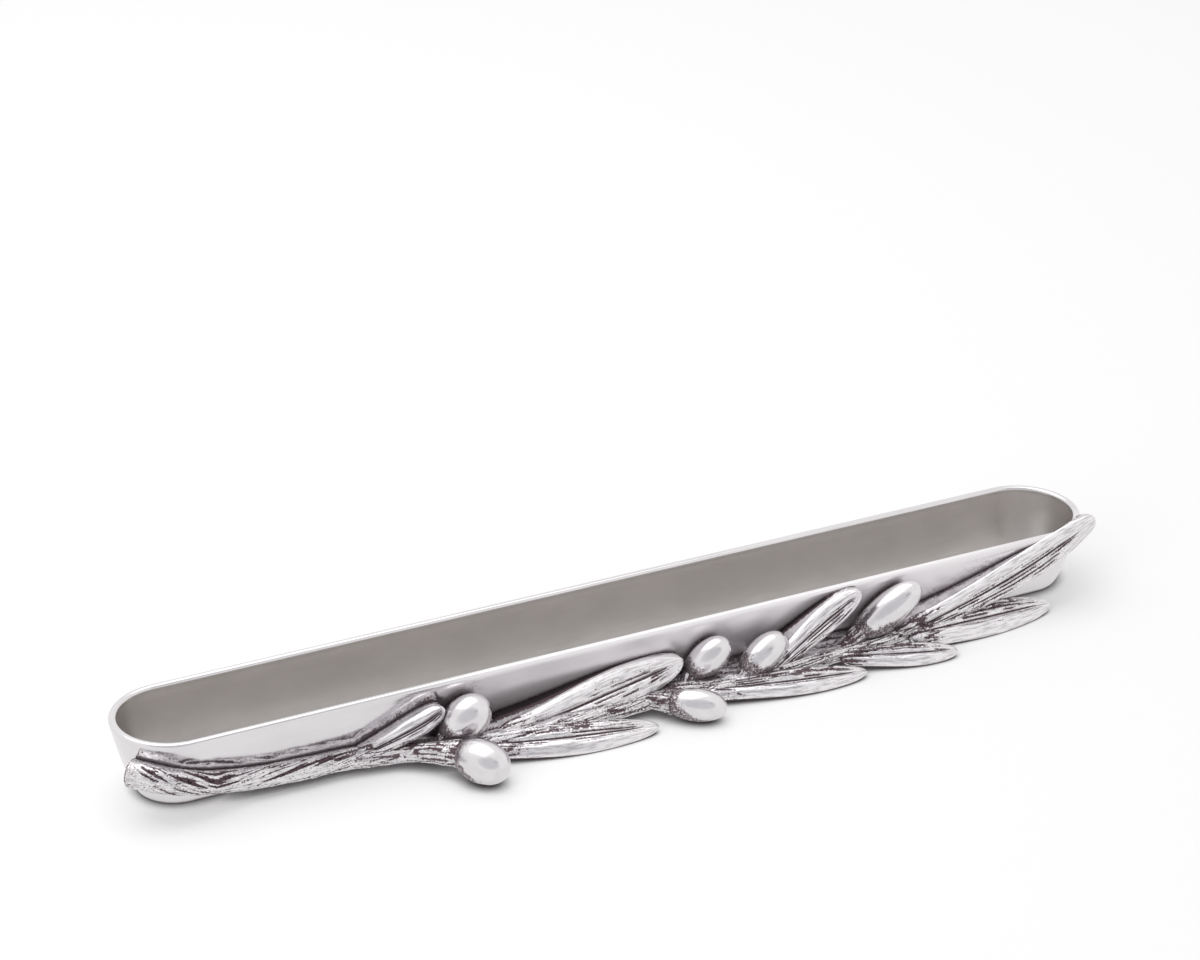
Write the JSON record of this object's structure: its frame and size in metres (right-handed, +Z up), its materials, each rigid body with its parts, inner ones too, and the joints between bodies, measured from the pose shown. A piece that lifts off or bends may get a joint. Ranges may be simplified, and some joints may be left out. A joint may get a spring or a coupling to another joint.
{
  "type": "olive dish",
  "caption": "Long narrow cast-metal trough with round ends for a single row of olives, with a leafy olive sprig along its front.",
  "frame": {"origin": "centre of the tray's flat base, on the table", "axes": "+X along the tray from the stem's cut end to the far tip, -Y towards the sprig's side, +Z up"},
  "size_m": [0.3013, 0.06, 0.0246],
  "materials": {
    "tray_metal": "sand-cast aluminium, polished bright outside and satin inside",
    "sprig_metal": "sand-cast aluminium with a dark patina in its grooves and polished ridges",
    "fruit_metal": "cast aluminium, polished smooth, with a dark patina at the stalk"
  },
  "bodies": {
    "root": {"tray": "tray_metal", "stem": "sprig_metal", "leaf_1": "sprig_metal", "leaf_2": "sprig_metal", "leaf_3": "sprig_metal", "leaf_4": "sprig_metal", "leaf_5": "sprig_metal", "leaf_6": "sprig_metal", "leaf_7": "sprig_metal", "leaf_8": "sprig_metal", "stalk_1": "sprig_metal", "stalk_2": "sprig_metal", "stalk_3": "sprig_metal", "stalk_4": "sprig_metal", "stalk_5": "sprig_metal", "stalk_6": "sprig_metal", "fruit_1": "fruit_metal", "fruit_2": "fruit_metal", "fruit_3": "fruit_metal", "fruit_4": "fruit_metal", "fruit_5": "fruit_metal", "fruit_6": "fruit_metal"}
  },
  "joints": []
}
